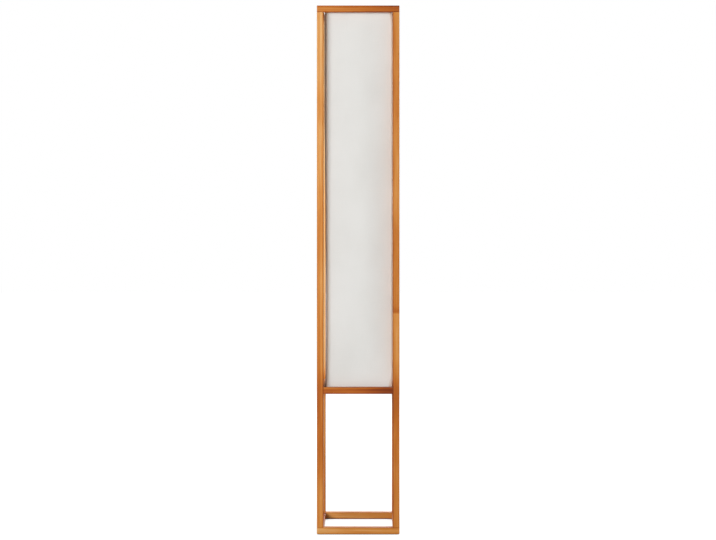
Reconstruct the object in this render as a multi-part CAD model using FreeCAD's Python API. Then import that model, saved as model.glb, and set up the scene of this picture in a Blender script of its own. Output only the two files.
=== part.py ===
# Andon floor lamp: a square open frame of wooden battens with a tall fabric shade in its upper bay.
# Lengths are in millimetres. The origin is on the floor in the middle of the footprint.
# +Z is up, the front faces -Y, and +X is to the right as seen from the front.

import FreeCAD, Part

import math
import os

from FreeCAD import Vector

# Whole lamp
overall_height = 1600.0
overall_width = 250.0
overall_depth = 250.0
stock = 20.0
edge_round = 1.5
middle_rail_top = 445.0

# Pads under the corners
pad_diameter = 16.0
pad_thickness = 1.5

# Dowels, and the wood that is left around their holes
dowel_diameter = 6.0
dowel_length = 25.0
dowel_chamfer = 0.8
hole_fit = 0.05
hole_end_room = 0.5
hole_web = 1.5
outer_wall = 3.5

# Countersunk wood screws
rail_screw_diameter = 4.0
rail_screw_head = 8.0
rail_screw_length = 50.0
small_screw_diameter = 3.0
small_screw_head = 6.0
screw_cover = 2.0

# Shade floor, carried on two cleats inside the middle rails
board_thickness = 6.0
board_recess = 4.0
board_gap = 0.5
board_round = 1.0
cleat_width = 10.0
cleat_end_gap = 10.0
cleat_round = 1.0
cleat_screw_share = 0.24
board_screw_share = 0.40

# Lamp pipe, its nuts and washers, and the cord inlet bush
pipe_diameter = 10.0
pipe_wall = 1.0
pipe_tail = 2.0
pipe_fit = 0.05
board_hole_room = 0.25
washer_diameter = 20.0
washer_thickness = 1.5
nut_flats = 14.0
nut_thickness = 4.0
bush_wall = 0.85
bush_lip = 1.0
bush_flange = 3.0
bush_spigot = 8.0
bush_round = 0.8

# Lampholder, measured up from its lower end
holder_height = 900.0
holder_wall = 2.0
collar_wall = 2.95
collar_length = 8.0
pipe_in_collar = 9.0
dome_height = 10.0
dome_wall = 3.0
dome_bulge_share = 0.12
insert_flange = 3.0
insert_height = 10.0
insert_step = 2.0
sleeve_spigot = 5.0
sleeve_length = 31.0
sleeve_shoulder = 2.0
sleeve_round = 1.5
mouth_room = 1.05
grip_ribs = 16
grip_rib_width = 2.0
grip_rib_height = 0.8
grip_rib_length = 14.0
grip_rib_start = 3.0
shell_wall = 0.45
shell_air = 3.55
shell_height = 23.0
shell_base_bore = 17.0
leaf_width = 5.0
leaf_length = 9.0
leaf_thickness = 0.5
leaf_rise = 2.2

# Bulb
bulb_diameter = 60.0
bulb_glass = 1.0
bulb_neck_room = 0.2
bulb_neck_in_cap = 5.0
bulb_neck_shown = 2.2
globe_turn_deg = 40.0
bulb_cap_diameter = 26.4
bulb_cap_room = 0.3
bulb_cap_wall = 0.4
bulb_cap_height = 20.0
bulb_cap_taper = 2.5
bulb_insulator_top = 19.0
bulb_insulator_height = 4.0
bulb_contact_diameter = 9.0
bulb_contact_height = 1.0

# Shade
shade_gap = 3.0
shade_corner = 14.0
shade_top_drop = 10.0
sheet_thickness = 0.8
seam_lap = 14.0
ring_wire = 3.0
ring_inset = 1.5
ring_fit = 0.05

# Small distances that several pieces share
rest_gap = 0.3
overrun = 2.0

# Faces and centre lines that follow from the sizes above
half_width = overall_width / 2
half_depth = overall_depth / 2
inner_x = half_width - stock
inner_y = half_depth - stock
post_x = half_width - stock / 2
post_y = half_depth - stock / 2
wood_bottom = pad_thickness
post_bottom = wood_bottom + stock
post_top = overall_height - stock
middle_rail_bottom = middle_rail_top - stock
board_top = middle_rail_top - board_recess
board_bottom = board_top - board_thickness
cleat_length = 2 * (inner_y - cleat_end_gap)
cleat_height = board_bottom - middle_rail_bottom
shade_x = inner_x - shade_gap
shade_y = inner_y - shade_gap
pipe_radius = pipe_diameter / 2
pipe_bore_radius = pipe_radius - pipe_wall

# The dowels and screws at the post ends stand near the outer face, clear of those of the side rails
hole_radius = dowel_diameter / 2 + hole_fit
corner_inset = outer_wall + hole_radius
shallow_depth = stock - corner_inset - hole_radius - hole_web - hole_end_room
middle_stagger = hole_radius + hole_web / 2

UP = Vector(0, 0, 1)
DOWN = Vector(0, 0, -1)
SIDES = ((-1, "left"), (1, "right"))
FACES = ((-1, "front"), (1, "back"))
LEVELS = (("bottom", wood_bottom), ("middle", middle_rail_bottom), ("top", post_top))

nodes = {}


def add_to_group(name, shape):
    """Puts a solid in a node that holds several alike, each one a separate solid."""
    nodes.setdefault(name, []).append(shape)


def box_between(low, high):
    """A box from its lowest corner to its highest."""
    size = high - low
    return Part.makeBox(size.x, size.y, size.z, low)


def edges_along(shape, direction):
    """The straight edges of a shape that run along a direction."""
    found = []
    for edge in shape.Edges:
        way = edge.tangentAt(edge.FirstParameter)
        if abs(way.dot(direction)) > math.cos(math.radians(1)):
            found.append(edge)
    return found


def point_along(shape, start, direction):
    """Turns a shape that is built up from the origin so that it runs from a start along a direction."""
    turned = shape.copy()
    placement = FreeCAD.Placement(start, FreeCAD.Rotation(UP, direction))
    turned.Placement = placement.multiply(shape.Placement)
    return turned


def revolved(outline):
    """Turns an outline of radius and height pairs into a solid of revolution."""
    corners = [Vector(radius, 0, height) for radius, height in outline]
    face = Part.Face(Part.makePolygon(corners + corners[:1]))
    return face.revolve(Vector(0, 0, 0), UP, 360)


def revolved_edges(edges):
    """Turns a closed outline of lines and arcs into a solid of revolution."""
    face = Part.Face(Part.Wire(Part.__sortEdges__(edges)))
    return face.revolve(Vector(0, 0, 0), UP, 360)


def line(start, end):
    return Part.makeLine(start, end)


def arc(start, middle, end):
    return Part.Arc(start, middle, end).toShape()


# Battens


def batten(low, high, direction):
    """A planed batten with its long edges rounded and square-cut ends that butt on other battens."""
    bar = box_between(low, high)
    return bar.makeFillet(edge_round, edges_along(bar, direction))


def through_batten(low, high):
    """A batten whose ends show, so that they are eased as its long edges are."""
    bar = box_between(low, high)
    return bar.makeFillet(edge_round, bar.Edges)


def make_posts():
    for sign_x, side in SIDES:
        for sign_y, face in FACES:
            centre = Vector(sign_x * post_x, sign_y * post_y, 0)
            half = Vector(stock / 2, stock / 2, 0)
            low = centre - half + UP * post_bottom
            high = centre + half + UP * post_top
            nodes[face + "_" + side + "_post"] = batten(low, high, UP)


def make_cross_rails():
    """The front and back rails: over and under the posts at the ends, between them at the middle."""
    for level, base in LEVELS:
        for sign_y, face in FACES:
            reach = inner_x if level == "middle" else half_width
            low = Vector(-reach, sign_y * post_y - stock / 2, base)
            high = Vector(reach, sign_y * post_y + stock / 2, base + stock)
            name = level + "_" + face + "_rail"
            if level == "middle":
                nodes[name] = batten(low, high, Vector(1, 0, 0))
            else:
                nodes[name] = through_batten(low, high)


def make_side_rails():
    """The left and right rails, which join the front and back ladders into square frames."""
    for level, base in LEVELS:
        for sign_x, side in SIDES:
            low = Vector(sign_x * post_x - stock / 2, -inner_y, base)
            high = Vector(sign_x * post_x + stock / 2, inner_y, base + stock)
            nodes[level + "_" + side + "_rail"] = batten(low, high, Vector(0, 1, 0))


# Joinery: each call bores its hole in both battens and puts the dowel or the screw in it


def bore(name, cutter):
    nodes[name] = nodes[name].cut(cutter)


def dowel():
    """A dowel with chamfered ends."""
    radius = dowel_diameter / 2
    return revolved(
        (
            (0, 0),
            (radius - dowel_chamfer, 0),
            (radius, dowel_chamfer),
            (radius, dowel_length - dowel_chamfer),
            (radius - dowel_chamfer, dowel_length),
            (0, dowel_length),
        )
    )


def dowel_joint(group, shallow_batten, deep_batten, seam, direction):
    """Pins two battens at a seam. The direction leads from the shallow hole into the deep one."""
    start = seam - direction * shallow_depth
    mouth = start - direction * hole_end_room
    hole = Part.makeCylinder(hole_radius, dowel_length + 2 * hole_end_room, mouth, direction)
    bore(shallow_batten, hole)
    bore(deep_batten, hole)
    add_to_group(group, point_along(dowel(), start, direction))


def screw_outline(diameter, head, length, fit, lead):
    """Half the outline of a countersunk screw, or of its hole where fit and lead are more than zero."""
    shank = diameter / 2 + fit
    rim = head / 2 + fit
    tip = length + fit
    return (
        (0, -lead),
        (rim, -lead),
        (rim, 0),
        (shank, rim - shank),
        (shank, tip - diameter),
        (0, tip),
    )


def screw_joint(group, battens, start, direction, diameter, head, length):
    """Drives a countersunk screw through battens from the face where its head lies flush."""
    outline = screw_outline(diameter, head, length, 0, 0)
    screw = revolved(outline[:1] + outline[2:])
    hole = revolved(screw_outline(diameter, head, length, hole_fit, overrun))
    for name in battens:
        bore(name, point_along(hole, start, direction))
    add_to_group(group, point_along(screw, start, direction))


def join_corner(sign_x, side, sign_y, face):
    """Joins everything that meets at one post."""
    post = face + "_" + side + "_post"
    corner_y = sign_y * (half_depth - corner_inset)
    top_seam = Vector(sign_x * post_x, corner_y, post_top)
    dowel_joint("top_rail_dowels", "top_" + face + "_rail", post, top_seam, DOWN)
    screw_joint(
        "bottom_rail_screws",
        ("bottom_" + face + "_rail", post),
        Vector(sign_x * post_x, corner_y, wood_bottom),
        UP,
        rail_screw_diameter,
        rail_screw_head,
        rail_screw_length,
    )
    middle = middle_rail_bottom + stock / 2
    middle_seam = Vector(sign_x * inner_x, sign_y * post_y, middle + middle_stagger)
    across = Vector(-sign_x, 0, 0)
    dowel_joint("middle_rail_dowels", post, "middle_" + face + "_rail", middle_seam, across)
    for level, base in LEVELS:
        host = post if level == "middle" else level + "_" + face + "_rail"
        drop = middle_stagger if level == "middle" else 0
        seam = Vector(sign_x * post_x, sign_y * inner_y, base + stock / 2 - drop)
        inward = Vector(0, -sign_y, 0)
        dowel_joint("side_rail_dowels", host, level + "_" + side + "_rail", seam, inward)


def make_pads():
    for sign_x, side in SIDES:
        for sign_y, face in FACES:
            centre = Vector(sign_x * post_x, sign_y * post_y, 0)
            add_to_group("floor_pads", Part.makeCylinder(pad_diameter / 2, pad_thickness, centre))


# Shade floor


def make_cleats():
    """Two cleats on the side middle rails, screwed outward into them."""
    for sign_x, side in SIDES:
        name = side + "_cleat"
        centre_x = sign_x * (inner_x - cleat_width / 2)
        low = Vector(centre_x - cleat_width / 2, -cleat_length / 2, middle_rail_bottom)
        high = Vector(centre_x + cleat_width / 2, cleat_length / 2, board_bottom)
        bar = box_between(low, high)
        ends = [edge for edge in edges_along(bar, UP) if abs(edge.CenterOfMass.x) < abs(centre_x)]
        nodes[name] = bar.makeFillet(cleat_round, ends)
        for sign_y, face in FACES:
            screw_joint(
                "cleat_screws",
                (name, "middle_" + side + "_rail"),
                Vector(
                    sign_x * (inner_x - cleat_width),
                    sign_y * cleat_screw_share * cleat_length,
                    middle_rail_bottom + cleat_height / 2,
                ),
                Vector(sign_x, 0, 0),
                small_screw_diameter,
                small_screw_head,
                cleat_width + stock / 2,
            )


def make_base_board():
    """The shade floor lies on the cleats, and screws come up into it from below."""
    reach = Vector(inner_x - board_gap, inner_y - board_gap, 0)
    board = box_between(UP * board_bottom - reach, UP * board_top + reach)
    board = board.makeFillet(board_round, edges_along(board, UP))
    pipe_hole = Part.makeCylinder(
        pipe_radius + board_hole_room,
        board_thickness + 2 * overrun,
        UP * (board_bottom - overrun),
    )
    nodes["base_board"] = board.cut(pipe_hole)
    for sign_x, side in SIDES:
        for sign_y, face in FACES:
            screw_joint(
                "board_screws",
                (side + "_cleat", "base_board"),
                Vector(
                    sign_x * (inner_x - cleat_width / 2),
                    sign_y * board_screw_share * cleat_length,
                    middle_rail_bottom,
                ),
                UP,
                small_screw_diameter,
                small_screw_head,
                cleat_height + board_thickness - screw_cover,
            )


# Lamp pipe

pipe_lower_end = board_bottom - washer_thickness - nut_thickness - pipe_tail
pipe_upper_end = holder_height + pipe_in_collar


def make_lamp_pipe():
    length = pipe_upper_end - pipe_lower_end
    tube = Part.makeCylinder(pipe_radius, length, UP * pipe_lower_end)
    hollow = Part.makeCylinder(pipe_bore_radius, length + 2 * overrun, UP * (pipe_lower_end - overrun))
    nodes["lamp_pipe"] = tube.cut(hollow)


def washer():
    ring = Part.makeCylinder(washer_diameter / 2, washer_thickness)
    hole = Part.makeCylinder(pipe_radius + pipe_fit, washer_thickness)
    return ring.cut(hole)


def nut():
    """A hexagon nut with its corners turned off on both faces."""
    corner = nut_flats / 2 / math.cos(math.radians(30))
    corners = []
    for step in range(6):
        angle = math.radians(60 * step)
        corners.append(Vector(corner * math.cos(angle), corner * math.sin(angle), 0))
    prism = Part.Face(Part.makePolygon(corners + corners[:1])).extrude(UP * nut_thickness)
    turned_off = (corner - nut_flats / 2) / 2
    blank = revolved(
        (
            (0, 0),
            (nut_flats / 2, 0),
            (corner, turned_off),
            (corner, nut_thickness - turned_off),
            (nut_flats / 2, nut_thickness),
            (0, nut_thickness),
        )
    )
    hole = Part.makeCylinder(pipe_radius + pipe_fit, nut_thickness)
    return prism.common(blank).cut(hole)


def make_pipe_hardware():
    """A washer and a nut on each face of the shade floor."""
    for base in (board_top, board_bottom - washer_thickness):
        add_to_group("pipe_washers", point_along(washer(), UP * base, UP))
    for base in (board_top + washer_thickness, board_bottom - washer_thickness - nut_thickness):
        add_to_group("pipe_nuts", point_along(nut(), UP * base, UP))


def make_cord_bush():
    """A flanged bush in the lower end of the pipe, with a rounded mouth for the cord."""
    rim = pipe_radius + bush_lip
    spigot = pipe_bore_radius - pipe_fit
    hole = spigot - bush_wall
    bottom = pipe_lower_end - bush_flange
    top = pipe_lower_end + bush_spigot
    bend = bush_round * (1 - math.cos(math.radians(45)))
    corners = (
        Vector(hole + bush_round, 0, bottom),
        Vector(rim - bush_round, 0, bottom),
        Vector(rim, 0, bottom + bush_round),
        Vector(rim, 0, pipe_lower_end),
        Vector(spigot, 0, pipe_lower_end),
        Vector(spigot, 0, top),
        Vector(hole, 0, top),
        Vector(hole, 0, bottom + bush_round),
    )
    edges = [
        line(corners[0], corners[1]),
        arc(corners[1], Vector(rim - bend, 0, bottom + bend), corners[2]),
        arc(corners[7], Vector(hole + bend, 0, bottom + bend), corners[0]),
    ]
    for first, second in zip(corners[2:7], corners[3:8]):
        edges.append(line(first, second))
    nodes["cord_inlet_bush"] = revolved_edges(edges)


# Lampholder

shell_radius = bulb_cap_diameter / 2 + bulb_cap_room
shell_outside = shell_radius + shell_wall
recess_radius = shell_outside + shell_air
holder_radius = recess_radius + holder_wall
ledge_height = collar_length + dome_height
cap_height = ledge_height + insert_flange + sleeve_spigot
insert_top = ledge_height + insert_flange + insert_height
leaf_top = insert_top + leaf_rise + leaf_thickness


def raised(shape, height):
    return point_along(shape, UP * (holder_height + height), UP)


def make_holder_cap():
    """The lower half of the lampholder: a collar on the pipe, a dome and a recess for the insert."""
    thread = pipe_radius + pipe_fit
    collar = thread + collar_wall
    dome_foot = Vector(collar, 0, collar_length)
    dome_top = Vector(holder_radius, 0, ledge_height)
    chord = dome_top - dome_foot
    bulge = Vector(chord.z, 0, -chord.x) * dome_bulge_share
    cavity_foot = collar_length + dome_wall
    outline = (
        Vector(holder_radius, 0, cap_height),
        Vector(recess_radius, 0, cap_height),
        Vector(recess_radius, 0, ledge_height),
        Vector(recess_radius - insert_step, 0, ledge_height),
        Vector(collar, 0, cavity_foot),
        Vector(thread, 0, cavity_foot),
        Vector(thread, 0, 0),
        Vector(collar, 0, 0),
        dome_foot,
    )
    edges = [
        arc(dome_foot, dome_foot + chord / 2 + bulge, dome_top),
        line(dome_top, outline[0]),
    ]
    for first, second in zip(outline, outline[1:]):
        edges.append(line(first, second))
    nodes["lampholder_cap"] = raised(revolved_edges(edges), 0)


def make_holder_sleeve():
    """The upper half: a spigot in the cap, a ribbed grip band and a lip at the mouth."""
    spigot = recess_radius - hole_fit
    inside = recess_radius - insert_step + hole_fit
    bottom = cap_height - sleeve_spigot
    top = cap_height + sleeve_length
    lip = shell_outside + mouth_room
    body = revolved(
        (
            (inside, bottom),
            (spigot, bottom),
            (spigot, cap_height),
            (holder_radius, cap_height),
            (holder_radius, top - sleeve_round),
            (holder_radius - sleeve_round, top),
            (lip, top),
            (lip, top - sleeve_shoulder),
            (recess_radius, top - sleeve_shoulder),
            (recess_radius, cap_height + sleeve_shoulder),
            (inside, cap_height + sleeve_shoulder),
        )
    )
    rib_root = holder_radius - holder_wall / 2
    rib = Part.makeBox(
        grip_rib_height + holder_wall / 2,
        grip_rib_width,
        grip_rib_length,
        Vector(rib_root, -grip_rib_width / 2, cap_height + grip_rib_start),
    )
    ribs = []
    for step in range(grip_ribs):
        copy = rib.copy()
        copy.rotate(Vector(0, 0, 0), UP, step * 360 / grip_ribs)
        ribs.append(copy)
    nodes["lampholder_sleeve"] = raised(body.fuse(ribs), 0)


def make_contacts():
    """The insert that the sleeve clamps in the cap, and the two live parts on it."""
    flange = recess_radius - hole_fit
    body = recess_radius - insert_step
    well = shell_base_bore / 2
    ledge = ledge_height + insert_flange
    nodes["contact_insert"] = raised(
        revolved(
            (
                (0, ledge_height),
                (flange, ledge_height),
                (flange, ledge),
                (body, ledge),
                (body, insert_top),
                (0, insert_top),
            )
        ),
        0,
    )
    nodes["screw_shell"] = raised(
        revolved(
            (
                (well, 0),
                (shell_outside, 0),
                (shell_outside, shell_height),
                (shell_radius, shell_height),
                (shell_radius, shell_wall),
                (well, shell_wall),
            )
        ),
        insert_top,
    )
    nodes["centre_contact"] = raised(spring_leaf(), insert_top)


def spring_leaf():
    """A strip bent up from its foot on the insert to a flat pad under the bulb's contact."""
    half = leaf_length / 2
    pad = leaf_length / 3
    outline = (
        Vector(-half, 0, 0),
        Vector(-half + pad / 2, 0, 0),
        Vector(half - pad, 0, leaf_rise),
        Vector(half, 0, leaf_rise),
        Vector(half, 0, leaf_rise + leaf_thickness),
        Vector(half - pad, 0, leaf_rise + leaf_thickness),
        Vector(-half + pad / 2, 0, leaf_thickness),
        Vector(-half, 0, leaf_thickness),
    )
    face = Part.Face(Part.makePolygon(outline + outline[:1]))
    face.translate(Vector(-pad / 2, -leaf_width / 2, 0))
    return face.extrude(Vector(0, leaf_width, 0))


# Bulb, measured up from the tip of its contact

bulb_foot = leaf_top + rest_gap
insulator_top = bulb_contact_height + bulb_insulator_height
cap_rim = insulator_top + bulb_cap_height
cap_inside = bulb_cap_diameter / 2 - bulb_cap_wall


def globe_outline(offset):
    """The outside of the globe, or with an offset its inside: neck, hollow curve, round head."""
    radius = bulb_diameter / 2
    turn = math.radians(globe_turn_deg)
    neck = cap_inside - bulb_neck_room
    hollow = (radius * math.cos(turn) - neck) / (1 - math.cos(turn))
    centre = UP * (cap_rim + bulb_neck_shown + (radius + hollow) * math.sin(turn))
    hollow_centre = centre + Vector(math.cos(turn), 0, -math.sin(turn)) * (radius + hollow)
    head = radius - offset
    waist = hollow + offset

    def on_head(angle):
        return centre + Vector(math.cos(angle), 0, math.sin(angle)) * head

    def on_waist(angle):
        return hollow_centre + Vector(-math.cos(angle), 0, math.sin(angle)) * waist

    neck_top = on_waist(0)
    neck_foot = Vector(neck_top.x, 0, cap_rim - bulb_neck_in_cap)
    crown = on_head(math.pi / 2)
    shoulder = on_head(-turn)
    edges = [
        line(neck_foot, neck_top),
        arc(neck_top, on_waist(turn / 2), shoulder),
        arc(shoulder, on_head((math.pi / 2 - turn) / 2), crown),
    ]
    return neck_foot, crown, edges


def make_bulb():
    outer_foot, outer_crown, outer_edges = globe_outline(0)
    inner_foot, inner_crown, inner_edges = globe_outline(bulb_glass)
    closing = [line(outer_foot, inner_foot), line(outer_crown, inner_crown)]
    nodes["bulb_globe"] = raised(revolved_edges(outer_edges + inner_edges + closing), bulb_foot)
    outer = bulb_cap_diameter / 2
    top = bulb_insulator_top / 2
    nodes["bulb_cap"] = raised(
        revolved(
            (
                (top, insulator_top),
                (outer, insulator_top + bulb_cap_taper),
                (outer, cap_rim),
                (cap_inside, cap_rim),
                (cap_inside, insulator_top + bulb_cap_taper + bulb_cap_wall),
                (top - bulb_cap_wall, insulator_top + bulb_cap_wall),
                (top - bulb_cap_wall, insulator_top),
            )
        ),
        bulb_foot,
    )
    contact = bulb_contact_diameter / 2
    nodes["bulb_insulator"] = raised(
        revolved(
            (
                (0, bulb_contact_height),
                (contact, bulb_contact_height),
                (top, insulator_top),
                (0, insulator_top),
            )
        ),
        bulb_foot,
    )
    nodes["bulb_contact"] = raised(
        Part.makeCylinder(contact, bulb_contact_height), bulb_foot
    )


# Shade

shade_bottom = board_top + rest_gap
shade_top = overall_height - shade_top_drop


def rounded_rectangle(inset, height):
    """The shade's outline, or one inside it by an inset: four sides and four quarter rounds."""
    half_x = shade_x - inset
    half_y = shade_y - inset
    corner = shade_corner - inset
    edges = []
    for turn in range(4):
        reach_x, reach_y = (half_x, half_y) if turn % 2 == 0 else (half_y, half_x)
        middle = Vector(reach_x - corner, reach_y - corner, height)
        diagonal = Vector(math.cos(math.radians(45)), math.sin(math.radians(45)), 0)
        side = line(
            Vector(reach_x, corner - reach_y, height),
            Vector(reach_x, reach_y - corner, height),
        )
        bend = arc(
            middle + Vector(corner, 0, 0),
            middle + diagonal * corner,
            middle + Vector(0, corner, 0),
        )
        for edge in (side, bend):
            edge.rotate(Vector(0, 0, 0), UP, 90 * turn)
            edges.append(edge)
    return Part.Wire(edges)


def make_shade_sheet():
    """One sheet wrapped round the rings, lapped over itself at the middle of the back."""
    length = shade_top - shade_bottom
    outside = Part.Face(rounded_rectangle(0, shade_bottom))
    inside = Part.Face(rounded_rectangle(sheet_thickness, shade_bottom))
    tube = outside.cut(inside).extrude(UP * length)
    lap = Part.makeBox(
        seam_lap,
        2 * sheet_thickness,
        length,
        Vector(-seam_lap / 2, shade_y - sheet_thickness, shade_bottom),
    )
    nodes["shade_sheet"] = tube.fuse(lap).removeSplitter()


def shade_ring(height):
    """A square ring bent from round wire, just inside the sheet."""
    inset = sheet_thickness + ring_fit + ring_wire / 2
    path = rounded_rectangle(inset, height)
    start = Vector(shade_x - inset, shade_corner - shade_y, height)
    section = Part.Wire(Part.makeCircle(ring_wire / 2, start, Vector(0, 1, 0)))
    return path.makePipeShell([section], True, False)


def make_shade_rings():
    nodes["shade_bottom_ring"] = shade_ring(shade_bottom + ring_inset + ring_wire / 2)
    nodes["shade_top_ring"] = shade_ring(shade_top - ring_inset - ring_wire / 2)


# Assembly

make_posts()
make_cross_rails()
make_side_rails()
for sign_x, side in SIDES:
    for sign_y, face in FACES:
        join_corner(sign_x, side, sign_y, face)
make_pads()
make_cleats()
make_base_board()
make_lamp_pipe()
make_pipe_hardware()
make_cord_bush()
make_holder_cap()
make_holder_sleeve()
make_contacts()
make_bulb()
make_shade_sheet()
make_shade_rings()

os.makedirs("parts", exist_ok=True)
for name, shape in nodes.items():
    if isinstance(shape, list):
        shape = Part.makeCompound(shape)
    shape.exportStep("parts/" + name + ".step")
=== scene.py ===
import math
import random

import bmesh
import bpy
from mathutils import Matrix, Vector
from mathutils.noise import noise as noise_at


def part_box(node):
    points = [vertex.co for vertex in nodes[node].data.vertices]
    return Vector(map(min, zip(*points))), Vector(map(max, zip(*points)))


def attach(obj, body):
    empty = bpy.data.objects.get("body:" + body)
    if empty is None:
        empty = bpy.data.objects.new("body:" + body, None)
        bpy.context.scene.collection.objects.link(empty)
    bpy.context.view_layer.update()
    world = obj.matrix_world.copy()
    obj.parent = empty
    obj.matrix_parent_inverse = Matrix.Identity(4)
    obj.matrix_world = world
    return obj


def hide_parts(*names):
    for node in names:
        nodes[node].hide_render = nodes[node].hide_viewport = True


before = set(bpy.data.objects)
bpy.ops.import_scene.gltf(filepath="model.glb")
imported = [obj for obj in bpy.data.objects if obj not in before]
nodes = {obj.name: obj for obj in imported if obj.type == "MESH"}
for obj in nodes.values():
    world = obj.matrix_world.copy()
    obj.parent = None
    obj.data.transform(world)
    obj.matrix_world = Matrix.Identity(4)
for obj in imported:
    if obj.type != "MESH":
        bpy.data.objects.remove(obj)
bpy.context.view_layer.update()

MM = 0.001
TURN = 2 * math.pi

# Where the photograph was taken from, in metres, with its lens in millimetres and its framing
camera_place = (0.0400, -4.9250, 1.0191)
camera_lens = 79.82
camera_shift_x = -0.0187
camera_shift_y = -0.1012

# Lamps and floor: levels, and lengths in metres. Level 1 lights a white surface to white.
lamp_middle = (0.0, 0.0, 1.0)
ambient_level = 0.12
floor_reach = 12.0
floor_bounce = (0.45, 0.45, 0.44, 1)
floor_shadow = (0.25, 0.25, 0.25, 1)
floor_near = (0.5, 0.90)
floor_far = (1.4, 1.0)
# The floor's glow darkens where it is closed in under and against the lamp: a painted contact shadow
contact_reach = 30 * MM
contact_dark = 0.05
contact_clear = 0.55

# Wood: what its rings, fibres and stain are drawn from. A size is across, across and along the grain.
ring_width = 1.9 * MM
ring_unevenness = 1.6
ring_group = 7.7 * MM
late_sharpness = 2.2
late_end = 0.90
sway = (10 * MM, 6 * MM)
sway_size = (71 * MM, 71 * MM, 455 * MM)
fibre_size = (0.42 * MM, 0.42 * MM, 22 * MM)
streak_size = (3.0 * MM, 3.0 * MM, 165 * MM)
cloud_size = (22 * MM, 22 * MM, 125 * MM)
pore_size = (0.30 * MM, 0.30 * MM, 5.3 * MM)
pore_start = 0.66
pore_full = 0.78
batten_spread = 3.7
pith_distance = (40 * MM, 90 * MM)
pith_offset = 14 * MM

# How much each part of the grain darkens the stain, roughens the wood's face and stands out
late_middle = 0.2
late_weight = 0.20
fibre_weight = 0.16
streak_weight = 0.40
cloud_weight = 0.28
pore_weight = 0.16
wood_roughness = 0.36
fibre_roughness = 0.18
late_roughness = -0.06
late_relief = 0.5
fibre_relief = 0.5
pore_relief = -0.9
grain_relief = 0.06 * MM

# Stain: its colours from tone 0 to 1, and how it gathers on end grain. The darkening along the edges is
# partly stain and partly painted shade, the painted shade most on the edges that look into the lamp's
# openings.
# A place across a batten runs from -2 at its outermost edge to 2 at the edge that looks into the lamp's
# openings.
stain_stops = (
    (0.00, (0.800, 0.500, 0.210)),
    (0.25, (0.640, 0.262, 0.056)),
    (0.50, (0.485, 0.142, 0.016)),
    (0.75, (0.340, 0.070, 0.006)),
    (1.00, (0.180, 0.030, 0.003)),
)
unseen_tones = (0.25, 0.50)
edge_stain_and_shade_width = 3.4 * MM
edge_stain_and_shade_full = 0.4 * MM
outer_edge_place = -1.2
inner_edge_place = -0.4
outer_edge_stain_and_shade = 0.08
inner_edge_shade_and_stain = 0.30
end_facing = (0.6, 0.9)
end_stain = 0.22

# How dark the stain took along the battens that the front shows, from the low end: share and tone. On the
# back posts the stops also hold painted light: they turn lighter up beside the shade, where the key and
# the shade's bounce light them.
tone_stops = {
    "front_left_post": (
        (0.00, 0.30), (0.06, 0.34), (0.16, 0.54), (0.27, 0.52), (0.31, 0.36), (0.48, 0.30),
        (0.60, 0.28), (0.75, 0.17), (1.00, 0.15),
    ),
    "front_right_post": (
        (0.00, 0.40), (0.18, 0.46), (0.23, 0.58), (0.27, 0.58), (0.30, 0.38), (0.417, 0.28),
        (0.418, 0.62), (0.43, 0.46), (0.57, 0.44), (0.62, 0.31), (0.78, 0.34), (0.90, 0.40),
        (1.00, 0.30),
    ),
    "top_front_rail": ((0.00, 0.36), (0.50, 0.46), (1.00, 0.66)),
    "middle_front_rail": ((0.00, 0.58), (0.60, 0.66), (1.00, 0.96)),
    "bottom_front_rail": ((0.00, 0.16), (1.00, 0.34)),
    "bottom_back_rail": ((0.00, 0.20), (1.00, 0.34)),
    "bottom_left_rail": ((0.00, 0.50), (1.00, 0.70)),
    # Painted light: the back posts turn lighter up beside the shade, where the key and the shade's bounce
    # light them
    "back_left_post": ((0.00, 0.36), (0.27, 0.30), (0.30, 0.05), (1.00, 0.05)),
    "back_right_post": ((0.00, 0.30), (1.00, 0.10)),
}

# Streaks across the same battens: the axis that they are counted on, then share and tone about 0.5. On
# the rails, counted up their height, the light band along the middle rail's top is a painted highlight,
# and the darker bands along the rails' edges are partly painted shade.
streak_and_light_stops = {
    "front_left_post": (0, ((0.0, 0.50), (0.35, 0.57), (0.60, 0.46), (0.85, 0.52), (1.0, 0.56))),
    "front_right_post": (0, ((0.0, 0.56), (0.25, 0.52), (0.60, 0.47), (1.0, 0.47))),
    "top_front_rail": (2, ((0.0, 0.62), (0.15, 0.52), (0.65, 0.50), (0.85, 0.66), (1.0, 0.70))),
    "middle_front_rail": (2, (
        (0.0, 0.58), (0.2, 0.48), (0.45, 0.53), (0.66, 0.66), (0.78, 0.38), (1.0, 0.36),
    )),
    "bottom_front_rail": (2, ((0.0, 0.58), (0.25, 0.52), (0.50, 0.44), (1.0, 0.54))),
}

# Metals and moulded parts: the clouds in their finish, with the clouds' size and the share of the
# colour left in them, and how deep the fine marks on metal are and how much marks roughen both
cloud_start = 0.35
cloud_full = 0.70
metal_cloud = (6.2 * MM, 0.72)
moulded_cloud = (14 * MM, 0.93)
mark_depth = 0.02 * MM
mark_roughness = 0.2
skin_roughness = 0.15

# Shade cloth, in metres, with the hem's lean in degrees
sheet_thickness = 0.8 * MM
shade_corner = 14 * MM
wire_radius = 1.5 * MM
hem_room = 0.05 * MM
hem_turned = 6 * MM
hem_bend = 1.5 * MM
hem_lean = 50
seam_lap = 14 * MM
lap_slope = 5 * MM
thread_pitch = 0.62 * MM
thread_crossing = 0.15
slub_width = 0.93 * MM
warp_slub_length = 45 * MM
weft_slub_length = 62 * MM
cloth_cloud_size = (110 * MM, 200 * MM, 1.0)
weave_relief = 0.12 * MM

# Rows of points up the cloth's wall, and steps round the parts of its outline and of its hems
sheet_rows = 60
side_steps = 20
corner_steps = 10
lap_steps = 14
hem_bend_steps = 5
hem_wire_steps = 18

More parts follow.
